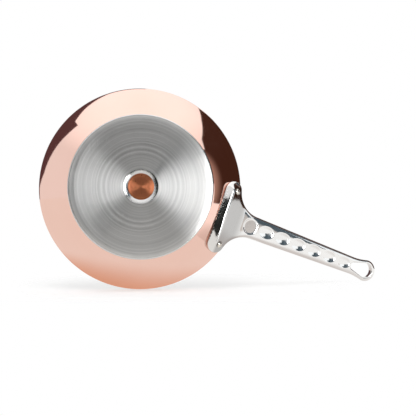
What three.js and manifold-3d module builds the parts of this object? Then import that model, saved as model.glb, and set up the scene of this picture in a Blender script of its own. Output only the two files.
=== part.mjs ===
// Copper frying pan with a steel lining, a bonded base plate for induction hobs and a riveted cast handle.
// Millimetres, +Z up, with the handle along +X. The pieces are drawn about the pan's own axis, and at the
// end the origin is put under the middle of the whole outline, on the plane that the pan stands on.
import * as THREE from "three";
import { mergeVertices } from "three/addons/utils/BufferGeometryUtils.js";
import Module from "manifold-3d";

const wasm = await Module();
wasm.setup();
const { degToRad, lerp, smoothstep } = THREE.MathUtils;

// Pan: a two-layer sheet, copper outside and stainless steel inside
const rimDiameter = 240; // over the copper at its upper edge, before that is rounded
const rimHeight = 41; // outer edge of the rim above the hob
const copperThickness = 1.8;
const liningThickness = 0.2;
const cornerRadius = 5; // outside of the bend between bottom and wall
const wallLean = degToRad(38); // slope of the wall where it leaves the bend
const rimRound = 0.6; // rounding of the copper's cut edge

// Base plate: a flat steel disc under the bottom, open at the middle
const plateDiameter = 168;
const plateThickness = 2;
const plateEdgeRound = 1.8;
const plateOverhang = 2.4; // from where the copper's bend starts
const dishDiameter = 40; // shallow coned recess round the opening
const dishDepth = 1;

// Medallion: a copper disc on the pan's bottom, seen through the plate's opening
const medallionDiameter = 30;
const medallionThickness = 1.1;
const medallionChamfer = 0.25;

// Handle flange, which follows the wall
const flangeWidth = 88; // across the handle
const flangeDepth = 25.6; // from the rim inwards to the straight lower edge, in plan
const flangeEndRadius = 10; // plan rounding of its two ends
const flangeThickness = 7.5; // at the middle, square to the wall
const flangeEdge = 0.4; // thin lip left against the wall
const bevelWidth = 10.1; // plan width of the bevel along the lower edge and round the ends
const bevelCrease = 0.18; // softness of the bevel's inner edge, as a share of its height
const flangeCrown = 190; // plan radius of its outer face
const shoulderDrop = 2; // top of the handle below the rim, where it meets the wall

// Handle grip, which rises away from the pan and ends in a hanging loop
const gripRise = degToRad(24);
const neckReach = 4; // plan distance from the rim to where the top starts to rise
const neckFillet = 30; // plan radius between flange and grip
const neckWidth = 27.6;
const tailWidth = 22; // just before the loop
const neckThickness = 10;
const tailThickness = 7.6;
const kneeBlend = 9; // depth of the soft hollow between flange and grip
const handleReach = 202.6; // plan distance from the rim to the tip of the loop
const loopRadius = 13.8;
const loopFlare = 80; // plan radius that widens the grip into the loop
const tipRound = 5; // length of the rounded nose at the tip
const flangeSquareness = 12; // superellipse exponents of the sections
const gripSquareness = 3.6;

// Hanging eye: a pear-shaped hole through the loop
const eyeRadius = 9.6;
const eyeSmallRadius = 4.6;
const eyeLength = 33; // in plan
const eyeChamfer = 1;

// Thumb scoops along the underside of the grip
const scoopCount = 6;
const scoopWidth = 15;
const scoopDepth = 1.5;
const scoopLand = 3; // left between neighbours, in plan
const scoopLean = degToRad(14); // deepens the end that is away from the pan

// Plain round recess on the underside, at the root of the grip
const rootRecess = 20; // across
const rootRecessDepth = 0.8;
const rootReach = 19; // plan distance from the rim to its middle

// Rivets: round head inside the pan, domed head outside
const rivetInset = 13.2; // from the flange's end to where a rivet crosses the wall, in plan
const rivetRise = 7.6; // from the flange's lower edge to there, in plan
const rivetShank = 6;
const innerHeadDiameter = 12;
const innerHeadHeight = 2.2;
const outerHeadDiameter = 7.2;
const outerHeadHeight = 1.9;

// Clearances
const fitClearance = 0.3; // between pieces that are pressed, bonded or riveted together
const headClearance = 0.4; // under a flat rivet head on the curved wall

// Facets
const turnSegments = 64;
const rivetSegments = 20;
const sectionSteps = 12;

const rimRadius = rimDiameter / 2;
const sheetThickness = copperThickness + liningThickness;
const bottomFlat = plateDiameter / 2 - plateOverhang;
const lowerEdge = rimRadius - flangeDepth;
const tip = rimRadius + handleReach;
const loopMiddle = tip - loopRadius;
const farAbove = 4 * rimHeight;
const tau = 2 * Math.PI;

// A closed geometry as a solid that can be joined and cut
function toSolid(geometry) {
  const bare = geometry.clone();
  bare.deleteAttribute("normal");
  bare.deleteAttribute("uv");
  const merged = mergeVertices(bare, 1e-4);
  const vertProperties = merged.getAttribute("position").array;
  const triVerts = new Uint32Array(merged.index.array);
  return new wasm.Manifold(new wasm.Mesh({ numProp: 3, vertProperties, triVerts }));
}

// A solid as a geometry that can be shown
function toGeometry(solid) {
  const mesh = solid.getMesh();
  const positions = new THREE.BufferAttribute(new Float32Array(mesh.vertProperties), 3);
  const geometry = new THREE.BufferGeometry().setAttribute("position", positions);
  geometry.setIndex(new THREE.BufferAttribute(new Uint32Array(mesh.triVerts), 1));
  geometry.computeVertexNormals();
  return geometry;
}

// A profile of [radius, height] points turned about the Z axis
function turned(profile, segments = turnSegments) {
  const points = profile.map(([radius, height]) => new THREE.Vector2(radius, height));
  return new THREE.LatheGeometry(points, segments).rotateX(Math.PI / 2);
}

// Rings of points with equal counts, joined side by side and closed at both ends
function lofted(rings) {
  const count = rings[0].length;
  const ends = [rings[0], rings.at(-1)].map((ring) => {
    const middle = new THREE.Vector3();
    ring.forEach((point) => middle.add(point));
    return middle.divideScalar(count);
  });
  const points = [...rings.flat(), ...ends];
  const last = (rings.length - 1) * count;
  const faces = [];
  for (let k = 0; k < count; k++) {
    const next = (k + 1) % count;
    for (let base = 0; base < last; base += count) {
      faces.push(base + k, base + next, base + count + k);
      faces.push(base + next, base + count + next, base + count + k);
    }
    faces.push(points.length - 2, next, k);
    faces.push(points.length - 1, last + k, last + next);
  }
  return new THREE.BufferGeometry().setFromPoints(points).setIndex(faces);
}

// The sheet's outer face from the bottom's edge to the rim, as points with the slope there
function sheetStations() {
  const cornerSteps = 5;
  const wallSteps = 6;
  const stations = [];
  for (let i = 0; i < cornerSteps; i++) {
    const lean = (wallLean * i) / cornerSteps;
    const radius = bottomFlat + cornerRadius * Math.sin(lean);
    const height = plateThickness + cornerRadius * (1 - Math.cos(lean));
    stations.push({ radius, height, lean });
  }
  const startRadius = bottomFlat + cornerRadius * Math.sin(wallLean);
  const startHeight = plateThickness + cornerRadius * (1 - Math.cos(wallLean));
  const run = rimRadius - startRadius;
  const climb = rimHeight - startHeight;
  const turn = 2 * (Math.atan2(climb, run) - wallLean);
  const bendRadius = Math.hypot(run, climb) / (2 * Math.sin(turn / 2));
  for (let i = 0; i <= wallSteps; i++) {
    const lean = wallLean + (turn * i) / wallSteps;
    const radius = startRadius + bendRadius * (Math.sin(lean) - Math.sin(wallLean));
    const height = startHeight + bendRadius * (Math.cos(wallLean) - Math.cos(lean));
    stations.push({ radius, height, lean });
  }
  return stations;
}
const stations = sheetStations();

// The sheet's outer face moved square to itself, inwards where inset is positive
function sheetCurve(inset) {
  return stations.map(({ radius, height, lean }) => [
    radius - inset * Math.sin(lean),
    height + inset * Math.cos(lean),
  ]);
}

// The height on a curve of [position, height] points, carried on straight past its end
function heightOn(curve, position) {
  let i = 1;
  while (i < curve.length - 1 && curve[i][0] < position) i++;
  const [x0, z0] = curve[i - 1];
  const [x1, z1] = curve[i];
  return z0 + ((z1 - z0) * (position - x0)) / (x1 - x0);
}

// The smaller of two heights with a soft hollow of a given depth where they cross
function softMin(a, b, blend) {
  return Math.min(a, b) - Math.max(blend - Math.abs(a - b), 0) ** 2 / (4 * blend);
}

// Where each rivet crosses the wall, and the way out along it
function rivetPlace(side) {
  const start = new THREE.Vector3(lowerEdge + rivetRise, side * (flangeWidth / 2 - rivetInset), 0);
  const radius = start.length();
  const lean = heightOn(stations.map((station) => [station.radius, station.lean]), radius);
  const way = start.clone().normalize().multiplyScalar(Math.sin(lean)).setZ(-Math.cos(lean));
  return { start: start.setZ(heightOn(sheetCurve(0), radius)), way };
}

// A geometry modelled along +Y, moved so that +Y points outwards along a rivet
function alongRivet(geometry, { start, way }) {
  const turn = new THREE.Quaternion().setFromUnitVectors(new THREE.Vector3(0, 1, 0), way);
  return geometry.clone().applyQuaternion(turn).translate(start.x, start.y, start.z);
}

// A round bar along +Y between two distances from the wall's outer face
function bar(radius, from, to) {
  const geometry = new THREE.CylinderGeometry(radius, radius, to - from, rivetSegments);
  return geometry.translate(0, (from + to) / 2, 0);
}

const rivetPlaces = [rivetPlace(1), rivetPlace(-1)];

// Holes for both rivets through one layer of the pan
function drilled(solid) {
  const hole = bar(rivetShank / 2 + fitClearance, -4 * sheetThickness, 4 * sheetThickness);
  return rivetPlaces.reduce((left, place) => left.subtract(toSolid(alongRivet(hole, place))), solid);
}

// Copper shell with a rounded cut edge
function copperShell() {
  const outside = sheetCurve(0);
  const inside = sheetCurve(copperThickness);
  const { lean } = stations.at(-1);
  const [rimX, rimZ] = outside.pop();
  const edge = [];
  const edgeSteps = 3;
  for (let i = 0; i <= edgeSteps; i++) {
    const angle = (Math.PI / 2) * (i / edgeSteps);
    const back = rimRound * (Math.sin(angle) - 1);
    const inset = rimRound * (1 - Math.cos(angle));
    const x = rimX + back * Math.cos(lean) - inset * Math.sin(lean);
    const z = rimZ + back * Math.sin(lean) + inset * Math.cos(lean);
    edge.push([x, z]);
  }
  const floor = plateThickness + copperThickness;
  const profile = [[0, plateThickness], ...outside, ...edge, ...inside.reverse(), [0, floor]];
  return toGeometry(drilled(toSolid(turned(profile))));
}

// Stainless lining bonded all over the inside of the copper
function steelLining() {
  const outside = sheetCurve(copperThickness);
  const inside = sheetCurve(sheetThickness);
  const bottom = plateThickness + copperThickness;
  const floor = plateThickness + sheetThickness;
  const profile = [[0, bottom], ...outside, ...inside.reverse(), [0, floor]];
  return toGeometry(drilled(toSolid(turned(profile))));
}

// Flat base plate with a rounded outer edge and a coned opening
function basePlate() {
  const outer = plateDiameter / 2;
  const opening = medallionDiameter / 2 + fitClearance;
  const edgeSteps = 4;
  const profile = [
    [opening, plateThickness],
    [opening, dishDepth],
    [dishDiameter / 2, 0],
  ];
  for (let i = 0; i <= edgeSteps; i++) {
    const angle = (Math.PI / 2) * (i / edgeSteps);
    const x = outer - plateEdgeRound * (1 - Math.sin(angle));
    const z = plateEdgeRound * (1 - Math.cos(angle));
    profile.push([x, z]);
  }
  profile.push([outer, plateThickness], [opening, plateThickness]);
  return turned(profile);
}

// Medallion seated on the pan's bottom
function medallion() {
  const radius = medallionDiameter / 2;
  const face = plateThickness - medallionThickness;
  return turned([
    [0, face],
    [radius - medallionChamfer, face],
    [radius, face + medallionChamfer],
    [radius, plateThickness],
    [0, plateThickness],
  ]);
}

// Handle: plan outline, from the flange's lower edge to the tip, as [x, half width] points
const endMiddle = { x: lowerEdge + flangeEndRadius, y: flangeWidth / 2 - flangeEndRadius };
const filletY = neckWidth / 2 + neckFillet;
const filletReach = flangeEndRadius + neckFillet;
const filletX = endMiddle.x + Math.sqrt(filletReach ** 2 - (filletY - endMiddle.y) ** 2);
const flareY = tailWidth / 2 + loopFlare;
const flareX = loopMiddle - Math.sqrt((loopRadius + loopFlare) ** 2 - flareY ** 2);

function planOutline() {
  const meet = Math.atan2(filletY - endMiddle.y, filletX - endMiddle.x);
  const join = Math.atan2(flareY, flareX - loopMiddle);
  const tipAngle = degToRad(6);
  const arc = (x, y, radius, from, to, steps) => {
    const curve = new THREE.EllipseCurve(x, y, radius, radius, from, to, to < from);
    return curve.getPoints(steps);
  };
  const grip = new THREE.LineCurve(
    new THREE.Vector2(filletX, neckWidth / 2),
    new THREE.Vector2(flareX, tailWidth / 2),
  );
  return [
    ...arc(endMiddle.x, endMiddle.y, flangeEndRadius, Math.PI, meet, 8),
    ...arc(filletX, filletY, neckFillet, Math.PI + meet, 1.5 * Math.PI, 9).slice(1),
    ...grip.getPoints(6).slice(1),
    ...arc(flareX, flareY, loopFlare, 1.5 * Math.PI, join + Math.PI, 4).slice(1),
    ...arc(loopMiddle, 0, loopRadius, join, tipAngle, 8).slice(1),
  ];
}

// Handle: distance in plan from the flange's lower edge and its rounded ends
function edgeDistance(x, y) {
  const pastEnd = Math.abs(y) - endMiddle.y;
  if (pastEnd <= 0) return x - lowerEdge;
  return flangeEndRadius - Math.hypot(Math.min(x - endMiddle.x, 0), pastEnd);
}

// Handle: height of the flange's crowned face, with a bevel down to the lip along its edge
const faceCurve = sheetCurve(-fitClearance - flangeThickness);
const lipCurve = sheetCurve(-fitClearance - flangeEdge);

function flangeFace(x, y) {
  const face = heightOn(faceCurve, x + y ** 2 / (2 * flangeCrown));
  const lip = heightOn(lipCurve, Math.hypot(x, y));
  const share = softMin(edgeDistance(x, y) / bevelWidth, 1, bevelCrease);
  return lerp(lip, face, Math.max(share, 0));
}

// Handle: top and underside of the grip on its middle line
const shoulder = rimHeight - shoulderDrop;
const gripThickness = (x) => lerp(neckThickness, tailThickness, (x - rimRadius) / handleReach);
const gripTop = (x) => shoulder + (x - rimRadius - neckReach) * Math.tan(gripRise);
const gripUnder = (x) => gripTop(x) - gripThickness(x) / Math.cos(gripRise);

function underside(x, y) {
  return softMin(flangeFace(x, y), gripUnder(x), kneeBlend);
}

function topside(x) {
  return -softMin(-shoulder, -gripTop(x), neckReach);
}

// Handle: one closed section across it, a superellipse between underside and top
function handleSection({ x, y: halfWidth }) {
  const share = smoothstep(x, lowerEdge + bevelWidth, filletX);
  const squareness = lerp(flangeSquareness, gripSquareness, share);
  const nose = Math.max((x - tip + tipRound) / tipRound, 0);
  const slim = (1 - nose ** 4) ** 0.25;
  const point = (across, side) => {
    const y = across * halfWidth;
    const low = underside(x, y);
    const high = topside(x);
    const bulge = Math.max(1 - Math.abs(across) ** squareness, 0) ** (1 / squareness);
    const z = (low + high) / 2 + (side * slim * bulge * (high - low)) / 2;
    return new THREE.Vector3(x, y, z);
  };
  const ring = [];
  for (let i = 0; i < 2 * sectionSteps; i++) {
    const across = -Math.cos((Math.PI * i) / sectionSteps);
    ring.push(point(across, i < sectionSteps ? -1 : 1));
  }
  return ring;
}

// Everything on the pan's side of the flange's seat
function panSide() {
  const seat = sheetCurve(-fitClearance);
  const [rimX] = seat.at(-1);
  const profile = [
    [0, plateThickness - fitClearance],
    ...seat,
    [rimX, farAbove],
    [0, farAbove],
  ];
  return toSolid(turned(profile));
}

// A shape modelled flat, laid on the grip's underside at a place along it
function onGrip(geometry, x, lift = 0) {
  const tilted = geometry.rotateY(-gripRise);
  const z = gripUnder(x);
  return tilted.translate(x + lift * Math.sin(gripRise), 0, z - lift * Math.cos(gripRise));
}

// Pear-shaped hole with chamfered mouths, as a waisted loft square to the grip
function hangingEye() {
  const squeeze = 1 / Math.cos(gripRise);
  const apart = (eyeLength - eyeRadius - eyeSmallRadius) * squeeze;
  const spread = Math.acos((eyeSmallRadius - eyeRadius) / apart);
  const steps = 9;
  const outline = (grow, height) => {
    const points = [];
    const arc = (middle, radius, from, to) => {
      for (let i = 0; i <= steps; i++) {
        const angle = from + ((to - from) * i) / steps;
        const x = middle + (radius + grow) * Math.cos(angle);
        points.push(new THREE.Vector3(x, (radius + grow) * Math.sin(angle), height));
      }
    };
    arc(0, eyeRadius, -spread, spread);
    arc(-apart, eyeSmallRadius, spread, tau - spread);
    return points;
  };
  const half = gripThickness(loopMiddle) / 2;
  const flare = 2 * eyeChamfer;
  const rings = [
    outline(flare, -half - eyeChamfer),
    outline(0, -half + eyeChamfer),
    outline(0, half - eyeChamfer),
    outline(flare, half + eyeChamfer),
  ];
  return toSolid(onGrip(lofted(rings), loopMiddle, -half));
}

// Round recess with sloping sides in the grip's underside
function roundRecess(x, diameter, depth) {
  const cone = new THREE.CylinderGeometry(diameter / 2 - depth, diameter / 2 + 2 * depth, 3 * depth, 24);
  return toSolid(onGrip(cone.rotateX(Math.PI / 2), x, depth / 2));
}

// A scoop, where the grip's skin cuts a leaning egg: shallow towards the pan and steep at the far end
function scoop(x, length) {
  const slimness = 0.25; // height of the egg over its length
  const rise = Math.hypot(Math.sin(scoopLean), slimness * Math.cos(scoopLean));
  const opening = 2 * Math.atan2(2 * slimness * scoopDepth, rise ** 2 * length);
  const reach = scoopDepth / (rise * (1 - Math.cos(opening)));
  const shear = (Math.sin(scoopLean) * Math.cos(scoopLean) * (1 - slimness ** 2)) / rise;
  const egg = new THREE.SphereGeometry(1, 20, 10);
  egg.scale(reach, scoopWidth / 2 / Math.sin(opening), slimness * reach);
  egg.rotateY(-scoopLean).translate(-reach * shear * Math.cos(opening), 0, 0);
  return toSolid(onGrip(egg, x, reach * rise - scoopDepth));
}

// Scoops: a row between the recess at the root and the hanging eye
function thumbScoops() {
  const rowStart = rimRadius + rootReach + (rootRecess / 2) * Math.cos(gripRise) + scoopLand / 2;
  const rowEnd = loopMiddle + eyeRadius - eyeLength;
  const pitch = (rowEnd - rowStart) / scoopCount;
  const length = (pitch - scoopLand) / Math.cos(gripRise);
  const scoops = [];
  for (let i = 0; i < scoopCount; i++) {
    scoops.push(scoop(rowStart + (i + 0.5) * pitch, length));
  }
  return scoops;
}

// Thickness of the flange along a rivet, from the wall's outer face
function flangeAlong({ start, way }) {
  let near = 0;
  let far = 6 * flangeThickness;
  for (let i = 0; i < 30; i++) {
    const middle = (near + far) / 2;
    const point = way.clone().multiplyScalar(middle).add(start);
    if (point.z > underside(point.x, point.y)) near = middle;
    else far = middle;
  }
  return near;
}
const headSeat = flangeAlong(rivetPlaces[0]) - fitClearance;

// Cast handle in one piece
function castHandle() {
  const blank = toSolid(lofted(planOutline().map(handleSection)));
  const hole = bar(rivetShank / 2 + fitClearance, 0, headSeat + flangeThickness);
  const spotFace = bar(outerHeadDiameter / 2 + fitClearance, headSeat, headSeat + flangeThickness);
  const root = roundRecess(rimRadius + rootReach, rootRecess, rootRecessDepth);
  const cuts = [panSide(), hangingEye(), root, ...thumbScoops()];
  rivetPlaces.forEach((place) => {
    cuts.push(toSolid(alongRivet(hole, place)), toSolid(alongRivet(spotFace, place)));
  });
  return toGeometry(cuts.reduce((left, cut) => left.subtract(cut), blank));
}

// Rivet along +Y from its head inside the pan to its domed head on the flange
function rivet() {
  const dome = (radius, height, from, direction) => {
    const steps = 5;
    const points = [];
    for (let i = 0; i <= steps; i++) {
      const angle = (Math.PI / 2) * (i / steps);
      const x = i === steps ? 0 : radius * Math.cos(angle);
      points.push([x, from + direction * height * Math.sin(angle)]);
    }
    return points;
  };
  const innerSeat = -sheetThickness - headClearance;
  const outerSeat = headSeat + fitClearance;
  const shank = rivetShank / 2;
  const profile = [
    ...dome(innerHeadDiameter / 2, innerHeadHeight, innerSeat, -1).reverse(),
    [shank, innerSeat],
    [shank, outerSeat],
    ...dome(outerHeadDiameter / 2, outerHeadHeight, outerSeat, 1),
  ];
  const points = profile.map(([radius, along]) => new THREE.Vector2(radius, along));
  return new THREE.LatheGeometry(points, rivetSegments);
}

const copper = new THREE.MeshStandardMaterial({ color: 0xe8b79f, roughness: 0.12, metalness: 1 });
const agedCopper = new THREE.MeshStandardMaterial({ color: 0xa8623f, roughness: 0.35, metalness: 1 });
const satinSteel = new THREE.MeshStandardMaterial({ color: 0xc9c7c3, roughness: 0.35, metalness: 1 });
const brushedSteel = new THREE.MeshStandardMaterial({ color: 0xb9b7b3, roughness: 0.4, metalness: 1 });
const castSteel = new THREE.MeshStandardMaterial({ color: 0xd0cdca, roughness: 0.15, metalness: 1 });
const rivetSteel = new THREE.MeshStandardMaterial({ color: 0xcfc8bf, roughness: 0.2, metalness: 1 });

const pan = new THREE.Group();
const piece = (name, geometry, material) => {
  const mesh = new THREE.Mesh(geometry, material);
  mesh.name = name;
  pan.add(mesh);
  return mesh;
};
piece("copper_shell", copperShell(), copper);
piece("steel_lining", steelLining(), satinSteel);
piece("base_plate", basePlate(), brushedSteel);
piece("base_medallion", medallion(), agedCopper);
piece("handle", castHandle(), castSteel);
["left", "right"].forEach((side, i) => {
  piece(`handle_rivet_${side}`, alongRivet(rivet(), rivetPlaces[i]), rivetSteel);
});

const middle = new THREE.Box3().setFromObject(pan).getCenter(new THREE.Vector3());
pan.position.set(-middle.x, -middle.y, 0);

export default pan;
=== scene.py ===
"""Looks of the copper frying pan: fine turned and cast pieces, their finishes, and the studio round them.

Pieces are drawn in millimetres about the pan's own axis, as in the CAD source, and then put into the row
frame, which is in metres. The photograph looks at the pan's underside while it stands on its rim, so the
studio is laid out along the picture's own axes: right, down and forward.
"""

import math

import bmesh
import bpy
from mathutils import Matrix, Quaternion, Vector


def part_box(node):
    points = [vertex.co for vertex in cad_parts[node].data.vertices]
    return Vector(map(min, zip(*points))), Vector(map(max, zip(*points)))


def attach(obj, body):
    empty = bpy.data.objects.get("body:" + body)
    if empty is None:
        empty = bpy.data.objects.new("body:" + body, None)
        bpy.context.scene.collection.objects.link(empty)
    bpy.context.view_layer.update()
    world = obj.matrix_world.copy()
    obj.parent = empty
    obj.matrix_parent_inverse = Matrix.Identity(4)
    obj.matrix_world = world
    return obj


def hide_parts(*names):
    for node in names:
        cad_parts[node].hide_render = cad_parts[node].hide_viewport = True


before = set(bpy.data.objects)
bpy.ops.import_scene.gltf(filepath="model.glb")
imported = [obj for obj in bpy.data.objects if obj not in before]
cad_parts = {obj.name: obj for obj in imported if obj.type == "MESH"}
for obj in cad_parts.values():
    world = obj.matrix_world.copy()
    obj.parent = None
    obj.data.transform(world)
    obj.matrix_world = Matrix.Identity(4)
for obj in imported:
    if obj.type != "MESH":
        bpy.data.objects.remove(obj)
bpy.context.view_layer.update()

# Sheet of the pan, in millimetres
RIM_RADIUS = 120
RIM_HEIGHT = 41
COPPER = 1.8  # thickness
LINING = 0.2  # thickness
BEND_RADIUS = 5
WALL_LEAN = math.radians(38)
RIM_ROUND = 0.6
INNER_ROUND = 0.2
LINING_SHORT = 0.15  # how far the lining's inner face stops before the rim

# Base plate and medallion
PLATE_RADIUS = 84
PLATE = 2  # thickness
PLATE_EDGE = 1.8  # radius of its rounded edge
PLATE_MARGIN = -2.4  # from the plate's edge to the end of the sheet's flat bottom
PLATE_CROWN = 11  # width of the outer ring that falls away
PLATE_DROP = 0.75  # how far it falls
DISH_RADIUS = 20
DISH_DEPTH = 1
MEDALLION_RADIUS = 15
MEDALLION = 1.1  # thickness

# Softened edges of the dish: how far out from the plate's opening or from the dish's radius, and how high
OPENING_EDGE = ((0, DISH_DEPTH + 0.1), (0.1, DISH_DEPTH - 0.02))
DISH_EDGE = ((-0.35, 0.074), (-0.1, 0.03), (0.2, 0), (0.6, 0))

# The medallion's face from its middle outwards, with a shallow groove and a rounded rim: radius and depth
MEDALLION_FACE = (
    (11.6, 0), (12, 0), (12.25, 0.1), (12.6, 0.1), (12.85, 0),
    (13.2, 0), (14.5, 0), (14.75, 0), (14.92, 0.08), (15, 0.25),
)

# Handle
LOWER_EDGE = 94.4  # of the flange, from the pan's axis
FLANGE_HALF = 44
FLANGE_END = 10  # radius of the flange's rounded ends
FLANGE = 7.5  # thickness
FLANGE_LIP = 0.4  # thickness left along its edge
BEVEL = 10.1  # width
CROWN = 190  # radius of the flange's face, across the handle
CREASE = 0.18  # softness of the line between bevel and face
SHOULDER = 39  # height of the flange's top
RISE = math.radians(24)
NECK_REACH = 4  # past the rim, where the grip starts to rise
NECK_FILLET = 30
NECK_HALF = 13.8
TAIL_HALF = 11
NECK = 10  # thickness
TAIL = 7.6  # thickness
KNEE = 9  # softness of the bend from flange to grip
TIP = 322.6  # reach from the pan's axis
TIP_STOP = math.radians(2)  # before the tip, where the outline ends
LOOP_RADIUS = 13.8
LOOP_FLARE = 80  # radius of the curve from grip to loop
NOSE = 5  # length over which the tip thins
NOSE_SQUARENESS = 4
FLANGE_SQUARENESS = 12
GRIP_SQUARENESS = 3.6
EYE_RADIUS = 9.6
EYE_SMALL = 4.6  # radius of the eye's narrow end
EYE_LENGTH = 33
EYE_CHAMFER = 1
SCOOPS = 6
SCOOP_WIDTH = 15
SCOOP_DEPTH = 1.5
SCOOP_LAND = 3  # left between two scoops
SCOOP_LEAN = math.radians(14)
SCOOP_SLIMNESS = 0.25  # thickness of the egg that cuts a scoop, over its length
ROOT_HOLLOW = 20  # diameter of the recess at the grip's root
ROOT_DEPTH = 0.8
ROOT_X = 139
CLEARANCE = 0.3

# Rivets
RIVET_X = 102
RIVET_Y = 30.8
SHANK = 3  # radius
INNER_HEAD = 6  # radius
INNER_DOME = 2.2
OUTER_HEAD = 3.6  # radius
OUTER_DOME = 1.9
HEAD_EDGE = 0.1
HEAD_ROUND = 0.2
CUT_BELOW = 4  # reach of a rivet's cutter under the wall
CUT_ABOVE = 6  # its reach past the seat

# Steps of turned faces, arcs and sections
ROUND_STEPS = 256
BEND_STEPS = 16
WALL_STEPS = 28
RIM_STEPS = 6
CROWN_STEPS = 8
EDGE_STEPS = 10
END_STEPS = 40
FILLET_STEPS = 40
GRIP_STEPS = 90
FLARE_STEPS = 16
LOOP_STEPS = 48
SECTION_STEPS = 144
EYE_STEPS = 40
EYE_SMALL_STEPS = 28
SCOOP_STEPS = 64
SCOOP_RINGS = 40
RECESS_STEPS = 96
CUT_STEPS = 64
RIVET_STEPS = 96
INNER_STEPS = 16
OUTER_STEPS = 14

# Points closer than this become one, and edges shorter than this go
SAME_POINT = 1e-4
SLIVER = 1e-5

# The casting's even skin, in metres, and how it is smoothed
SKIN_VOXEL = 0.00056
POLISH_FACTOR = 0.5
POLISH_ROUNDS = 9

# Where finishes change: wear below the rim, polish past the plate's flat and in its dish, and the ends
# of the flange face's painted darkening, a painted dark reflection, from the pan's axis
WEAR_START = 1.4
WEAR_END = 0.4
EDGE_POLISH_START = 0.1
EDGE_POLISH_END = 0.6
DISH_POLISH = 0.3
PAINTED_DARK_START = (103, 107)
PAINTED_DARK_END = (120, 134)

# Colours of the finishes
COPPER_ROSE = (0.8, 0.535, 0.455, 1)
COPPER_PALE = (0.84, 0.585, 0.51, 1)
COPPER_WORN = (0.95, 0.72, 0.63, 1)
GROOVE_DARK = (0.55, 0.547, 0.54, 1)
GROOVE_BRIGHT = (0.78, 0.775, 0.765, 1)
STRUCK_DARK = (0.53, 0.17, 0.077, 1)
STRUCK_BRIGHT = (0.78, 0.28, 0.14, 1)
STRUCK_TARNISH = (0.38, 0.113, 0.053, 1)
SATIN_DARK = (0.6, 0.595, 0.58, 1)
SATIN_BRIGHT = (0.71, 0.705, 0.69, 1)
CAST_GREY = (0.69, 0.68, 0.668, 1)
CAST_BRIGHT = (0.76, 0.75, 0.738, 1)
# Painted dark reflection: the flange face's base colour, darker than the polished rest of the casting
CAST_PAINTED_DARK = (0.45, 0.443, 0.437, 1)
RIVET_WARM = (0.6, 0.56, 0.5, 1)
RIVET_BRIGHT = (0.74, 0.7, 0.64, 1)
FLOOR_PAINT = (0.96, 0.96, 0.96, 1)
WHITE = (1, 1, 1, 1)

# Turn of the brushed metals' streaks, as a share of a full turn
BRUSHED_TURN = 0.237
SATIN_TURN = 0.25

# Camera: film and lens in millimetres, its place in metres from the middle of the base, and its turn as an
# axis times an angle
FILM = 36
LENS = 78.03
CAMERA_PLACE = Vector((0.01, 0.0596, -1.0355))
CAMERA_TURN = (-0.04751, -0.07761, 0.33497)

# Studio, in metres: cards behind the camera, each a little nearer than the last, and cards beside and above
ROOM_DEPTH = -4.5
BLUE_DEPTH = -4.45
PALE_DEPTH = -4.42
WINDOW_DEPTH = -4.4
RIGHT_WALL = 3
DARK_CORNER = 2.97
SIDE_WINDOW = 2.95
LEFT_WALL = -3
TOP_BACK = -3
CEILING = -6
SHELF = 1.5  # half of its width
PAST_RIM = 0.02  # only the handle this far past the rim sets the floor's lean

# Kinds of ray, and the world's strength where it only lights: it is 1 to the eye and in reflections
RAYS = ("camera", "diffuse", "glossy", "transmission", "volume_scatter", "shadow")
FLOOR_LIGHT = 0.8

FULL_TURN = 2 * math.pi
MM = 0.001

# Where the pan's axis stands in the row frame, and the way there from millimetres about it
plate_low, plate_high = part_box("base_plate")
AXIS = Vector(((plate_low.x + plate_high.x) / 2, (plate_low.y + plate_high.y) / 2, 0))
TO_ROW = Matrix.Translation(AXIS) @ Matrix.Scale(MM, 4)

# The picture's right, down and forward, as directions in the row frame
RIGHT, DOWN, FORWARD = Quaternion(CAMERA_TURN).to_matrix()

# Middles of the flange's rounded end, of the fillet between flange and grip, and of the loop, in plan
END_X = LOWER_EDGE + FLANGE_END
END_Y = FLANGE_HALF - FLANGE_END
FILLET_Y = NECK_HALF + NECK_FILLET
FILLET_X = END_X + math.sqrt((FLANGE_END + NECK_FILLET) ** 2 - (FILLET_Y - END_Y) ** 2)
LOOP_MIDDLE = TIP - LOOP_RADIUS

# The sheet's wall is one long arc from the bend to the rim
BOTTOM_FLAT = PLATE_RADIUS + PLATE_MARGIN
WALL_FOOT = Vector((
    BOTTOM_FLAT + BEND_RADIUS * math.sin(WALL_LEAN),
    PLATE + BEND_RADIUS * (1 - math.cos(WALL_LEAN)),
))
WALL_CHORD = Vector((RIM_RADIUS, RIM_HEIGHT)) - WALL_FOOT
WALL_TURN = 2 * (math.atan2(WALL_CHORD.y, WALL_CHORD.x) - WALL_LEAN)
WALL_RADIUS = WALL_CHORD.length / 2 / math.sin(WALL_TURN / 2)
WALL_MIDDLE = WALL_FOOT + WALL_RADIUS * Vector((-math.sin(WALL_LEAN), math.cos(WALL_LEAN)))
RIM_LEAN = WALL_LEAN + WALL_TURN


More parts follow.
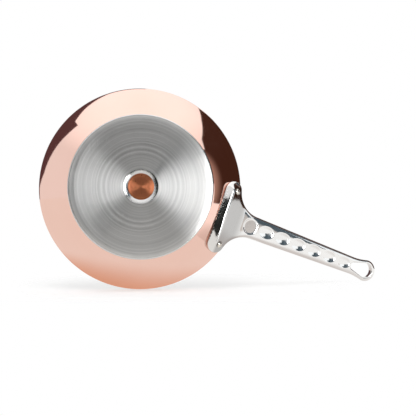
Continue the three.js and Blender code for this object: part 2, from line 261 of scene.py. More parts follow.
class Pen:
    """A line of edges drawn from one vertex, to be turned or used as an outline."""

    def __init__(self, x, y, z):
        self.bm = bmesh.new()
        self.end = self.bm.verts.new((x, y, z))

    def to(self, x, y, z):
        made = bmesh.ops.extrude_vert_indiv(self.bm, verts=[self.end])
        self.end = made["verts"][0]
        self.end.co = (x, y, z)
        return self

    def arc(self, middle, axis, angle, steps):
        made = bmesh.ops.spin(
            self.bm, geom=[self.end], cent=middle, axis=axis, angle=angle, steps=steps
        )
        self.end = next(part for part in made["geom_last"] if isinstance(part, bmesh.types.BMVert))
        return self

    def wall_to(self, x, z):
        """A straight edge in the upright plane."""
        return self.to(x, 0, z)

    def wall_arc(self, x, z, angle, steps):
        """An arc in the upright plane, up and outwards where the angle is positive."""
        return self.arc((x, 0, z), (0, -1, 0), angle, steps)

    def plan_to(self, x, y):
        """A straight edge in the plan."""
        return self.to(x, y, 0)

    def plan_arc(self, x, y, angle, steps):
        """An arc in the plan, anticlockwise where the angle is positive."""
        return self.arc((x, y, 0), (0, 0, 1), angle, steps)

    def points(self):
        """The line's points; the pen is put away."""
        spots = [vert.co.copy() for vert in self.bm.verts]
        self.bm.free()
        return spots

    def turned(self, steps=ROUND_STEPS):
        """The line turned all the way round the upright axis."""
        geom = self.bm.verts[:] + self.bm.edges[:]
        bmesh.ops.spin(
            self.bm, geom=geom, cent=(0, 0, 0), axis=(0, 0, 1), angle=FULL_TURN, steps=steps, use_merge=True
        )
        return closed(self.bm)


def closed(bm):
    """Merges doubled points, drops slivers and turns the faces outwards."""
    bmesh.ops.remove_doubles(bm, verts=bm.verts, dist=SAME_POINT)
    bmesh.ops.dissolve_degenerate(bm, dist=SLIVER, edges=bm.edges)
    bmesh.ops.recalc_face_normals(bm, faces=bm.faces)
    return bm


def bridged(bm, loops):
    """A skin over closed loops of edges in a row, capped at both ends."""
    bmesh.ops.edgeloop_fill(bm, edges=loops[0])
    for before, after in zip(loops, loops[1:]):
        bmesh.ops.bridge_loops(bm, edges=before + after)
    bmesh.ops.edgeloop_fill(bm, edges=loops[-1])
    return closed(bm)


def as_mesh(bm, name):
    """The bmesh as a mesh; the bmesh is put away."""
    mesh = bpy.data.meshes.new(name)
    bm.to_mesh(mesh)
    bm.free()
    return mesh


def in_scene(name, data):
    """A new object in the scene."""
    obj = bpy.data.objects.new(name, data)
    bpy.context.scene.collection.objects.link(obj)
    return obj


def as_object(bm, name):
    """A bmesh in millimetres about the pan's axis, as an object in the row frame."""
    bmesh.ops.transform(bm, matrix=TO_ROW, verts=bm.verts)
    mesh = as_mesh(bm, name)
    mesh.shade_smooth()
    return in_scene(name, mesh)


def piece(obj, material, node):
    """Gives a piece its finish, and lets it stand for a CAD node."""
    obj.data.materials.append(material)
    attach(obj, "root")
    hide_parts(node)


class Value:
    """A socket used in sums: every operator adds a Math node."""

    def __init__(self, finish, socket):
        self.finish = finish
        self.socket = socket

    def maths(self, operation, first, second):
        return self.finish.node("ShaderNodeMath", {"operation": operation}, {0: first, 1: second})

    def larger(self, other):
        return self.maths("MAXIMUM", self, other)

    def __add__(self, other):
        return self.maths("ADD", self, other)

    def __radd__(self, other):
        return self.maths("ADD", other, self)

    def __sub__(self, other):
        return self.maths("SUBTRACT", self, other)

    def __rsub__(self, other):
        return self.maths("SUBTRACT", other, self)

    def __mul__(self, other):
        return self.maths("MULTIPLY", self, other)

    def __rmul__(self, other):
        return self.maths("MULTIPLY", other, self)


class Finish:
    """A node tree with one method that adds any node, and short forms for the nodes that come often."""

    def __init__(self, tree):
        self.tree = tree
        tree.nodes.clear()

    def node(self, kind, settings=None, sockets=None, output=0):
        """Adds a node, sets it, fills its sockets with values or links, and gives one of its outputs."""
        made = self.tree.nodes.new(kind)
        for name, setting in (settings or {}).items():
            setattr(made, name, setting)
        for key, value in (sockets or {}).items():
            if isinstance(value, Value):
                self.tree.links.new(value.socket, made.inputs[key])
            else:
                made.inputs[key].default_value = value
        return Value(self, made.outputs[output]) if made.outputs else None

    def vector(self, operation, first, second=(0, 0, 0), output="Vector"):
        return self.node(
            "ShaderNodeVectorMath", {"operation": operation}, {0: first, 1: second}, output
        )

    def place(self):
        return self.node("ShaderNodeTexCoord", output="Object")

    def axis_point(self):
        """The place in millimetres about the pan's axis."""
        return self.node(
            "ShaderNodeMapping",
            {"vector_type": "POINT"},
            {"Vector": self.place(), "Location": -AXIS / MM, "Scale": (1 / MM, 1 / MM, 1 / MM)},
        )

    def radius(self, point):
        """How far a point is from the pan's axis."""
        flat = self.vector("MULTIPLY", point, (1, 1, 0))
        return self.vector("LENGTH", flat, output="Value")

    def along(self, point, axis):
        """One coordinate of a point, by its letter."""
        return self.node("ShaderNodeSeparateXYZ", sockets={0: point}, output=axis)

    def distance(self, middle):
        """How far the place is from one middle."""
        return self.vector("DISTANCE", self.place(), middle, output="Value")

    def noise(self, point, scale, detail, roughness=0.5):
        return self.node(
            "ShaderNodeTexNoise",
            {"noise_dimensions": "3D"},
            {"Vector": point, "Scale": scale, "Detail": detail, "Roughness": roughness},
        )

    def rings(self, distance, scale, detail, roughness):
        """Noise along one distance only, which makes rings on a turned face."""
        return self.node(
            "ShaderNodeTexNoise",
            {"noise_dimensions": "1D"},
            {"W": distance, "Scale": scale, "Detail": detail, "Roughness": roughness},
        )

    def ramp(self, value, start, end):
        """Zero below start, one above end and smooth between them."""
        return self.node(
            "ShaderNodeMapRange",
            {"interpolation_type": "SMOOTHSTEP"},
            {"Value": value, "From Min": start, "From Max": end},
        )

    def mixed(self, share, first, second):
        """The first colour where the share is zero, and the second where it is one."""
        # A Mix node takes its colours at sockets 6 and 7, and gives one at 2
        return self.node(
            "ShaderNodeMix", {"data_type": "RGBA"}, {0: share, 6: first, 7: second}, output=2
        )

    def bump(self, height, strength, distance):
        return self.node(
            "ShaderNodeBump", sockets={"Height": height, "Strength": strength, "Distance": distance}
        )

    def glow(self, colour):
        return self.node("ShaderNodeEmission", sockets={"Color": colour, "Strength": 1.0})

    def blended(self, share, first, second):
        """The first shader where the share is zero, and the second where it is one."""
        return self.node("ShaderNodeMixShader", sockets={0: share, 1: first, 2: second})

    def surface(self, shader):
        self.node("ShaderNodeOutputMaterial", sockets={"Surface": shader})


def new_material(name):
    """An empty material, and the Finish that fills it."""
    material = bpy.data.materials.new(name)
    material.use_nodes = True
    return material, Finish(material.node_tree)


def metal(sockets_of):
    """A metal with the name of the function that works out its sockets."""
    material, finish = new_material(sockets_of.__name__)
    sockets = {"Metallic": 1.0, **sockets_of(finish)}
    finish.surface(finish.node("ShaderNodeBsdfPrincipled", sockets=sockets))
    return material


def polished_copper(finish):
    """Buffed copper: faint rings from the buffing wheel, soft smears, and a worn bright rim."""
    point = finish.axis_point()
    height = finish.along(point, "Z")
    smears = finish.noise(point, scale=0.012, detail=4, roughness=0.55)
    buffing = finish.rings(finish.radius(point) + height * 0.9, scale=2.4, detail=3, roughness=0.7)
    warmth = finish.noise(point, scale=0.02, detail=2)
    rim = finish.ramp(height, RIM_HEIGHT - WEAR_START, RIM_HEIGHT - WEAR_END)
    colour = finish.mixed(warmth, COPPER_ROSE, COPPER_PALE)
    return {
        "Base Color": finish.mixed(rim * 0.5, colour, COPPER_WORN),
        "Roughness": 0.035 + smears * 0.05 + rim * 0.08,
        "Normal": finish.bump(buffing, strength=0.005, distance=0.0004),
    }


def brushed_plate(finish):
    """Steel faced on a lathe: grooves in rings, some deeper than others, and a smoother edge and dish."""
    point = finish.axis_point()
    radius = finish.radius(point)
    fine = finish.rings(radius, scale=3.2, detail=4, roughness=0.75)
    coarse = finish.rings(radius, scale=0.34, detail=3, roughness=0.6)
    stain = finish.noise(point, scale=0.03, detail=4)
    grooves = finish.ramp(fine, 0.25, 0.75) * 0.5 + finish.ramp(coarse, 0.3, 0.7) * 0.5
    flat_end = PLATE_RADIUS - PLATE_EDGE
    edge = finish.ramp(radius, flat_end + EDGE_POLISH_START, flat_end + EDGE_POLISH_END)
    dish = 1 - finish.ramp(radius, DISH_RADIUS, DISH_RADIUS + DISH_POLISH)
    return {
        "Base Color": finish.mixed(grooves, GROOVE_DARK, GROOVE_BRIGHT),
        "Roughness": (0.25 + grooves * 0.08 + stain * 0.05) * (1 - (edge + dish) * 0.5),
        "Normal": finish.bump(grooves, strength=0.16, distance=0.0003),
        "Anisotropic": 0.9,
        "Anisotropic Rotation": BRUSHED_TURN,
    }


def struck_copper(finish):
    """Medallion copper, brushed in rings and darkened by heat."""
    point = finish.axis_point()
    fine = finish.rings(finish.radius(point), scale=3.0, detail=4, roughness=0.75)
    tarnish = finish.noise(point, scale=0.16, detail=4, roughness=0.6)
    bright = finish.mixed(fine, STRUCK_DARK, STRUCK_BRIGHT)
    return {
        "Base Color": finish.mixed(finish.ramp(tarnish, 0.5, 0.75) * 0.6, bright, STRUCK_TARNISH),
        "Roughness": 0.24 + tarnish * 0.1,
        "Normal": finish.bump(fine, strength=0.12, distance=0.0003),
        "Anisotropic": 0.85,
        "Anisotropic Rotation": BRUSHED_TURN,
    }


def satin_lining(finish):
    """Stainless lining with a turned satin face."""
    point = finish.axis_point()
    slant = finish.radius(point) + finish.along(point, "Z")
    fine = finish.rings(slant, scale=2.6, detail=4, roughness=0.75)
    coarse = finish.rings(slant, scale=0.3, detail=3, roughness=0.6)
    smears = finish.noise(point, scale=0.02, detail=4)
    grooves = fine * 0.6 + coarse * 0.4
    return {
        "Base Color": finish.mixed(grooves, SATIN_DARK, SATIN_BRIGHT),
        "Roughness": 0.24 + grooves * 0.1 + smears * 0.08,
        "Normal": finish.bump(grooves, strength=0.08, distance=0.0003),
        "Anisotropic": 0.6,
        "Anisotropic Rotation": SATIN_TURN,
    }


def polished_casting(finish):
    """Stainless casting polished by hand: hairlines along the grip, a faint ripple, and a painted dark
    reflection on the flange face.
    """
    point = finish.axis_point()
    reach = finish.along(point, "X")
    drawn_out = finish.vector("MULTIPLY", point, (0.06, 1, 1))
    hairlines = finish.noise(drawn_out, scale=1.9, detail=4, roughness=0.7)
    ripple = finish.noise(point, scale=0.09, detail=2)
    smears = finish.noise(point, scale=0.045, detail=4)
    # Painted reflection: the flange face's base colour is darkened to stand for the dark reflections it
    # shows
    painted_dark = finish.ramp(reach, *PAINTED_DARK_START) - finish.ramp(reach, *PAINTED_DARK_END)
    return {
        "Base Color": finish.mixed(painted_dark, finish.mixed(smears, CAST_GREY, CAST_BRIGHT), CAST_PAINTED_DARK),
        "Roughness": 0.04 + smears * 0.05 + hairlines * 0.03,
        "Normal": finish.bump(hairlines * 0.2 + ripple, strength=0.02, distance=0.0006),
    }


def rivet_steel(finish):
    """Rivet heads, peened and then polished."""
    point = finish.axis_point()
    peening = finish.noise(point, scale=0.5, detail=2)
    smears = finish.noise(point, scale=0.25, detail=3)
    return {
        "Base Color": finish.mixed(smears, RIVET_WARM, RIVET_BRIGHT),
        "Roughness": 0.16 + smears * 0.12,
        "Normal": finish.bump(peening, strength=0.15, distance=0.0006),
    }


def wall_height(radius, out):
    """Height of the wall's outer face, moved out square to itself and carried on straight past the rim."""
    reach = WALL_RADIUS + out
    inside = min(radius, WALL_MIDDLE.x + reach * math.sin(RIM_LEAN))
    height = WALL_MIDDLE.y - math.sqrt(reach**2 - (inside - WALL_MIDDLE.x) ** 2)
    return height + (radius - inside) * math.tan(RIM_LEAN)


def sheet_face(pen, inset, out, short=0.0):
    """Carries a pen along the sheet, moved inwards by an inset: out to the rim, or back to the bottom."""
    bend = (BOTTOM_FLAT, PLATE + BEND_RADIUS)
    rise = WALL_TURN - short / (WALL_RADIUS - inset)
    if out:
        pen.wall_arc(*bend, WALL_LEAN, BEND_STEPS).wall_arc(*WALL_MIDDLE, rise, WALL_STEPS)
    else:
        pen.wall_arc(*WALL_MIDDLE, -rise, WALL_STEPS).wall_arc(*bend, -WALL_LEAN, BEND_STEPS)


def rim_point(inset, back):
    """A point of the sheet near its rim, inwards from the outer face and back from the cut edge."""
    x = RIM_RADIUS - inset * math.sin(RIM_LEAN) - back * math.cos(RIM_LEAN)
    z = RIM_HEIGHT + inset * math.cos(RIM_LEAN) - back * math.sin(RIM_LEAN)
    return x, z


def copper_shell():
    """The outer sheet, with both edges of its rim rounded."""
    pen = Pen(0, 0, PLATE).wall_to(BOTTOM_FLAT, PLATE)
    sheet_face(pen, 0, out=True, short=RIM_ROUND)
    pen.wall_arc(*rim_point(RIM_ROUND, RIM_ROUND), math.pi / 2, RIM_STEPS)
    pen.wall_to(*rim_point(COPPER - INNER_ROUND * 1.5, 0))
    pen.wall_to(*rim_point(COPPER - INNER_ROUND / 2, INNER_ROUND / 4))
    pen.wall_to(*rim_point(COPPER, INNER_ROUND))
    sheet_face(pen, COPPER, out=False, short=INNER_ROUND)
    pen.wall_to(0, PLATE + COPPER)
    return as_object(pen.turned(), "buffed_copper_shell")


def steel_lining():
    """The thin inner sheet, which stops just short of the rim."""
    pen = Pen(0, 0, PLATE + COPPER).wall_to(BOTTOM_FLAT, PLATE + COPPER)
    sheet_face(pen, COPPER, out=True, short=INNER_ROUND)
    pen.wall_to(*rim_point(COPPER + LINING, LINING_SHORT))
    sheet_face(pen, COPPER + LINING, out=False, short=LINING_SHORT)
    pen.wall_to(0, PLATE + COPPER + LINING)
    return as_object(pen.turned(), "satin_steel_lining")


def base_plate():
    """A disc dished round its opening, flat as far as its crown, then falling away to a rounded edge."""
    opening = MEDALLION_RADIUS + CLEARANCE
    crown = PLATE_RADIUS - PLATE_CROWN
    flat_end = PLATE_RADIUS - PLATE_EDGE
    edge_middle = PLATE_EDGE + PLATE_DROP
    pen = Pen(opening, 0, PLATE)
    for out, height in OPENING_EDGE:
        pen.wall_to(opening + out, height)
    for out, height in DISH_EDGE:
        pen.wall_to(DISH_RADIUS + out, height)
    pen.wall_to(crown, 0)
    for step in range(1, CROWN_STEPS + 1):
        share = step / CROWN_STEPS
        pen.wall_to(crown + (flat_end - crown) * share, PLATE_DROP * share**2)
    pen.wall_arc(flat_end, edge_middle, math.acos((edge_middle - PLATE) / PLATE_EDGE), EDGE_STEPS)
    pen.wall_to(opening, PLATE)
    return as_object(pen.turned(), "brushed_base_plate")


def base_medallion():
    """A disc in the plate's opening."""
    face = PLATE - MEDALLION
    pen = Pen(0, 0, face)
    for radius, depth in MEDALLION_FACE:
        pen.wall_to(radius, face + depth)
    pen.wall_to(MEDALLION_RADIUS, PLATE).wall_to(0, PLATE)
    return as_object(pen.turned(), "struck_medallion")


def soft_min(a, b, blend):
    """The smaller of two heights, with a soft hollow where they cross."""
    return min(a, b) - max(blend - abs(a - b), 0) ** 2 / (4 * blend)


def grip_top(x):
    return SHOULDER + (x - RIM_RADIUS - NECK_REACH) * math.tan(RISE)


def grip_thickness(x):
    return NECK + (TAIL - NECK) * (x - RIM_RADIUS) / (TIP - RIM_RADIUS)


def grip_under(x):
    return grip_top(x) - grip_thickness(x) / math.cos(RISE)


def edge_distance(x, y):
    """Distance in plan from the flange's lower edge and its rounded ends."""
    past_end = abs(y) - END_Y
    if past_end <= 0:
        return x - LOWER_EDGE
    return FLANGE_END - math.hypot(min(x - END_X, 0), past_end)


def flange_face(x, y):
    """Height of the flange's crowned outer face, with a bevel down to a thin lip along its edge."""
    face = wall_height(x + y**2 / (2 * CROWN), CLEARANCE + FLANGE)
    share = max(soft_min(edge_distance(x, y) / BEVEL, 1, CREASE), 0)
    lip = wall_height(math.hypot(x, y), CLEARANCE + FLANGE_LIP)
    return lip + (face - lip) * share


def underside(x, y):
    return soft_min(flange_face(x, y), grip_under(x), KNEE)


def topside(x):
    return -soft_min(-SHOULDER, -grip_top(x), NECK_REACH)


def handle_outline():
    """Half of the handle's plan, from the flange's lower edge to the tip, as points."""
    flare_y = TAIL_HALF + LOOP_FLARE
    flare_x = LOOP_MIDDLE - math.sqrt((LOOP_RADIUS + LOOP_FLARE) ** 2 - flare_y**2)
    meet = math.atan2(FILLET_Y - END_Y, FILLET_X - END_X)
    join = math.atan2(flare_y, flare_x - LOOP_MIDDLE)
    pen = Pen(LOWER_EDGE, END_Y, 0)
    pen.plan_arc(END_X, END_Y, meet - math.pi, END_STEPS)
    pen.plan_arc(FILLET_X, FILLET_Y, math.pi / 2 - meet, FILLET_STEPS)
    for step in range(1, GRIP_STEPS + 1):
        share = step / GRIP_STEPS
        pen.plan_to(FILLET_X + (flare_x - FILLET_X) * share, NECK_HALF + (TAIL_HALF - NECK_HALF) * share)
    pen.plan_arc(flare_x, flare_y, join - math.pi / 2, FLARE_STEPS)
    pen.plan_arc(LOOP_MIDDLE, 0, TIP_STOP - join, LOOP_STEPS)
    return pen.points()


def section_point(x, half, spot):
    """A point of the handle's section, a rounded box from underside to top, for a spot on a unit circle."""
    crease = LOWER_EDGE + BEVEL
    share = min(max((x - crease) / (FILLET_X - crease), 0), 1)
    eased = share * share * (3 - 2 * share)
    squareness = FLANGE_SQUARENESS + (GRIP_SQUARENESS - FLANGE_SQUARENESS) * eased
    bulge = max(1 - abs(spot.x) ** squareness, 0) ** (1 / squareness)
    nose = max((x - TIP + NOSE) / NOSE, 0)
    slim = (1 - nose**NOSE_SQUARENESS) ** (1 / NOSE_SQUARENESS)
    y = spot.x * half
    low = underside(x, y)
    high = topside(x)
    return Vector((x, y, (low + high) / 2 + math.copysign(slim * bulge * (high - low) / 2, spot.y)))


def handle_blank():
    """The casting before anything is cut out of it: sections bridged from flange to tip."""
    bm = bmesh.new()
    loops = []
    for station in handle_outline():
        ring = bmesh.ops.create_circle(bm, segments=SECTION_STEPS, radius=1)["verts"]
        loops.append(list({edge for vert in ring for edge in vert.link_edges}))
        for vert in ring:
            vert.co = section_point(station.x, station.y, vert.co)
    return as_object(bridged(bm, loops), "handle_blank")


def pan_side():
    """Everything on the pan's side of the flange's seat."""
    over_handle = 4 * RIM_HEIGHT
    pen = Pen(0, 0, PLATE - CLEARANCE).wall_to(BOTTOM_FLAT, PLATE - CLEARANCE)
    sheet_face(pen, -CLEARANCE, out=True)
    pen.wall_to(pen.end.co.x, over_handle).wall_to(0, over_handle)
    return as_object(pen.turned(), "pan_side")


def on_grip(bm, x, lift):
    """Lays a shape modelled flat on the grip's underside, lifted out of it."""
    place = Vector((x + lift * math.sin(RISE), 0, grip_under(x) - lift * math.cos(RISE)))
    lean = Matrix.Rotation(-RISE, 4, "Y")
    bmesh.ops.transform(bm, matrix=Matrix.Translation(place) @ lean, verts=bm.verts)
    return bm


def hanging_eye():
    """A pear-shaped hole, waisted so that its mouths are chamfered."""
    apart = (EYE_LENGTH - EYE_RADIUS - EYE_SMALL) / math.cos(RISE)
    spread = math.acos((EYE_SMALL - EYE_RADIUS) / apart)
    half = grip_thickness(LOOP_MIDDLE) / 2
    mouth = 2 * EYE_CHAMFER
    bm = bmesh.new()
    loops = []
    for grow, height in (
        (mouth, -half - EYE_CHAMFER),
        (0, EYE_CHAMFER - half),
        (0, half - EYE_CHAMFER),
        (mouth, half + EYE_CHAMFER),
    ):
        big = EYE_RADIUS + grow
        small = EYE_SMALL + grow
        pen = Pen(big * math.cos(spread), -big * math.sin(spread), 0)
        pen.plan_arc(0, 0, 2 * spread, EYE_STEPS)
        pen.plan_to(small * math.cos(spread) - apart, small * math.sin(spread))
        pen.plan_arc(-apart, 0, FULL_TURN - 2 * spread, EYE_SMALL_STEPS)
        ring = [bm.verts.new((spot.x, spot.y, height)) for spot in pen.points()]
        loops.append([bm.edges.new(pair) for pair in zip(ring, ring[1:] + ring[:1])])
    return as_object(on_grip(bridged(bm, loops), LOOP_MIDDLE, -half), "hanging_eye")


def root_recess():
    """A plain round recess with a flat floor and sloping sides."""
    outer = ROOT_HOLLOW / 2 + 2 * ROOT_DEPTH
    inner = ROOT_HOLLOW / 2 - ROOT_DEPTH
    depth = 3 * ROOT_DEPTH
    bm = bmesh.new()
    bmesh.ops.create_cone(
        bm, cap_ends=True, segments=RECESS_STEPS, radius1=outer, radius2=inner, depth=depth
    )
    return as_object(on_grip(bm, ROOT_X, ROOT_DEPTH / 2), "root_recess")


def scoop(x, length, name):
    """A leaning egg, which the grip's skin cuts shallow towards the pan and steep at the far end."""
    across = math.sin(SCOOP_LEAN)
    along = math.cos(SCOOP_LEAN)
    rise = math.hypot(across, SCOOP_SLIMNESS * along)
    opening = 2 * math.atan2(2 * SCOOP_SLIMNESS * SCOOP_DEPTH, rise**2 * length)
    reach = SCOOP_DEPTH / (rise * (1 - math.cos(opening)))
    shift = reach * math.cos(opening) * across * along * (1 - SCOOP_SLIMNESS**2) / rise
    size = (reach, SCOOP_WIDTH / 2 / math.sin(opening), SCOOP_SLIMNESS * reach)
    lean = Matrix.Translation((-shift, 0, 0)) @ Matrix.Rotation(-SCOOP_LEAN, 4, "Y")
    bm = bmesh.new()
    bmesh.ops.create_uvsphere(bm, u_segments=SCOOP_STEPS, v_segments=SCOOP_RINGS, radius=1)
    bmesh.ops.scale(bm, vec=size, verts=bm.verts)
    bmesh.ops.transform(bm, matrix=lean, verts=bm.verts)
    return as_object(on_grip(bm, x, reach * rise - SCOOP_DEPTH), name)


def thumb_scoops():
    """A row of scoops between the root's recess and the eye, with a land between each two."""
    start = ROOT_X + ROOT_HOLLOW / 2 * math.cos(RISE) + SCOOP_LAND / 2
    end = LOOP_MIDDLE + EYE_RADIUS - EYE_LENGTH
    pitch = (end - start) / SCOOPS
    length = (pitch - SCOOP_LAND) / math.cos(RISE)
    return [scoop(start + (i + 0.5) * pitch, length, f"scoop_{i}") for i in range(SCOOPS)]


def rivet_place(side):
    """Turns and moves a shape along +Z so that +Z leaves the wall where a rivet crosses it."""
    start = Vector((RIVET_X, side * RIVET_Y))
    lean = math.asin((start.length - WALL_MIDDLE.x) / WALL_RADIUS)
    out = start.normalized() * math.sin(lean)
    way = Vector((out.x, out.y, -math.cos(lean)))
    place = Vector((start.x, start.y, wall_height(start.length, 0)))
    return Matrix.Translation(place) @ way.to_track_quat("Z", "Y").to_matrix().to_4x4()


def at_rivet(bm, side, name):
    """A shape modelled along +Z, set where one rivet crosses the wall."""
    bmesh.ops.transform(bm, matrix=rivet_place(side), verts=bm.verts)
    return as_object(bm, name)


def rivet_seat():
    """Height of the outer head's seat over the wall, read from the CAD rivet."""
    back = (TO_ROW @ rivet_place(1)).inverted()
    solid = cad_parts["handle_rivet_left"].data
    return max((back @ vert.co).z for vert in solid.vertices) - OUTER_DOME


def rivet_cut(side, seat):
    """The hole and the spot face for one rivet."""
    hole = SHANK + CLEARANCE
    wide = OUTER_HEAD + CLEARANCE
    spot_face = seat - CLEARANCE
    top = seat + CUT_ABOVE
    pen = Pen(0, 0, -CUT_BELOW).wall_to(hole, -CUT_BELOW).wall_to(hole, spot_face)
    pen.wall_to(wide, spot_face).wall_to(wide, top).wall_to(0, top)
    return at_rivet(pen.turned(CUT_STEPS), side, "rivet_cut")


def rivet(side, seat, name):
    """Round head inside the pan, shank, and a small domed head on the flange."""
    inner_back = -COPPER - LINING - CLEARANCE
    inner_pole = inner_back - HEAD_EDGE - INNER_DOME
    inner_ball = (INNER_HEAD**2 + INNER_DOME**2) / (2 * INNER_DOME)
    outer_ball = (OUTER_HEAD**2 + OUTER_DOME**2) / (2 * OUTER_DOME)
    outer_middle = seat + OUTER_DOME - outer_ball
    outer_edge = seat + HEAD_ROUND
    dome_turn = math.acos((outer_edge - outer_middle) / outer_ball)
    pen = Pen(0, 0, inner_pole)
    pen.wall_arc(0, inner_pole + inner_ball, math.asin(INNER_HEAD / inner_ball), INNER_STEPS)
    pen.wall_to(INNER_HEAD - HEAD_ROUND, inner_back).wall_to(SHANK, inner_back)
    pen.wall_to(SHANK, seat).wall_to(OUTER_HEAD - HEAD_ROUND, seat).wall_to(OUTER_HEAD, outer_edge)
    pen.wall_to(outer_ball * math.sin(dome_turn), outer_edge)
    pen.wall_arc(0, outer_middle, dome_turn, OUTER_STEPS)
    return at_rivet(pen.turned(RIVET_STEPS), side, name)


def carved(blank, cutters, name):
    """The blank less its cutters, given one even skin with softened edges."""
    for cutter in cutters:
        cut = blank.modifiers.new("cut", "BOOLEAN")
        cut.operation = "DIFFERENCE"
        cut.solver = "MANIFOLD"
        cut.object = cutter
    skin = blank.modifiers.new("skin", "REMESH")
    skin.mode = "VOXEL"
    skin.voxel_size = SKIN_VOXEL
    polish = blank.modifiers.new("polish", "SMOOTH")
    polish.factor = POLISH_FACTOR
    polish.iterations = POLISH_ROUNDS
    shaped = blank.evaluated_get(bpy.context.evaluated_depsgraph_get())
    mesh = bpy.data.meshes.new_from_object(shaped)
    mesh.name = name
    mesh.materials.clear()  # the cuts leave empty slots
    mesh.shade_smooth()
    for spare in [blank, *cutters]:
        bpy.data.objects.remove(spare)
    return in_scene(name, mesh)


def cast_handle(seat):
    """The handle's blank, cut to the wall and then by its eye, recess, scoops and rivets."""
    rivet_cuts = [rivet_cut(side, seat) for side in (1, -1)]
    cutters = [pan_side(), hanging_eye(), root_recess(), *thumb_scoops(), *rivet_cuts]
    return carved(handle_blank(), cutters, "polished_handle")


def picture(right, down, forward):
    """A point of the studio in metres along the picture's axes from the middle of the base."""
    return AXIS + right * RIGHT + down * DOWN + forward * FORWARD


def photo_camera():
    """The camera of the photograph."""
    data = bpy.data.cameras.new("photo_camera")
    data.sensor_width = FILM
    data.lens = LENS
    turn = Matrix((RIGHT, -DOWN, -FORWARD)).transposed().to_4x4()
    camera = in_scene("photo_camera", data)
    camera.matrix_world = Matrix.Translation(AXIS + CAMERA_PLACE) @ turn
    bpy.context.scene.camera = camera


def studio_world():
    """White to the eye and in reflections, a little lower as the light on the floor."""
    world = bpy.data.worlds.new("studio")
    bpy.context.scene.world = world
    world.use_nodes = True
    finish = Finish(world.node_tree)
    camera = finish.node("ShaderNodeLightPath", output="Is Camera Ray")
    glossy = finish.node("ShaderNodeLightPath", output="Is Glossy Ray")
    through = finish.node("ShaderNodeLightPath", output="Is Transmission Ray")
    strength = FLOOR_LIGHT + camera.larger(glossy).larger(through) * (1 - FLOOR_LIGHT)
    glow = finish.node("ShaderNodeBackground", sockets={"Color": WHITE, "Strength": strength})
    finish.node("ShaderNodeOutputWorld", sockets={"Surface": glow})


def soft_lamp(name, place, target, size, power):
    """A square lamp that doesn't show in reflections."""
    lamp = bpy.data.lights.new(name, "AREA")
    lamp.shape = "SQUARE"
    lamp.size = size
    lamp.energy = power
    obj = in_scene(name, lamp)
    obj.location = place
    obj.rotation_euler = (target - place).to_track_quat("-Z", "Y").to_euler()
    obj.visible_glossy = False


def stage_sheet(name, corners, material, seen_by):
    """A flat sheet of the studio, seen only by one kind of ray."""
    bm = bmesh.new()
    bm.faces.new([bm.verts.new(corner) for corner in corners])
    mesh = as_mesh(bm, name)
    mesh.materials.append(material)
    obj = in_scene(name, mesh)
    for ray in RAYS:
        setattr(obj, f"visible_{ray}", ray == seen_by)


def plain_card(name, colour):
    """A card with the same light all over."""
    material, finish = new_material(name)
    finish.surface(finish.glow((*colour, 1)))
    return material


def fading_card(name, middle, near, far, start, end):
    """A card whose light changes with the distance from one middle."""
    material, finish = new_material(name)
    share = finish.ramp(finish.distance(middle), start, end)
    finish.surface(finish.glow(finish.mixed(share, (*near, 1), (*far, 1))))
    return material


def pale_floor(name, glow_share, middle, reach):
    """White floor that keeps a soft shadow, fading out at its reach and clear when seen from behind."""
    material, finish = new_material(name)
    paint = finish.node("ShaderNodeBsdfDiffuse", sockets={"Color": FLOOR_PAINT})
    lit = finish.blended(1 - glow_share, finish.glow(WHITE), paint)
    behind = finish.node("ShaderNodeNewGeometry", output="Backfacing")
    unseen = behind.larger(finish.ramp(finish.distance(middle), reach / 2, reach))
    finish.surface(finish.blended(unseen, lit, finish.node("ShaderNodeBsdfTransparent")))
    return material


class PhotoFloor:
    """The photograph's floor: it touches the rim's lowest point, and leans until the handle rests on it."""

    def __init__(self, handle):
        down_hill = Vector((DOWN.x, DOWN.y, 0)).normalized()
        self.foot = AXIS + down_hill * RIM_RADIUS * MM + Vector((0, 0, RIM_HEIGHT * MM))
        lean = min(
            math.atan2((self.foot - vert.co).dot(down_hill), vert.co.z - self.foot.z)
            for vert in handle.data.vertices
            if vert.co.z > self.foot.z + PAST_RIM
        )
        self.inwards = Vector((0, 0, math.cos(lean))) - down_hill * math.sin(lean)

    def spot(self, right, depth):
        """A point on the floor, to the right of the rim's foot and deeper into the picture."""
        return self.foot + right * RIGHT + depth * self.inwards

    def patch(self, name, left, right, near, far, material, seen_by):
        """A piece of the floor, with straight sides."""
        sides = ((left, near), (right, near), (right, far), (left, far))
        stage_sheet(name, [self.spot(*corner) for corner in sides], material, seen_by)


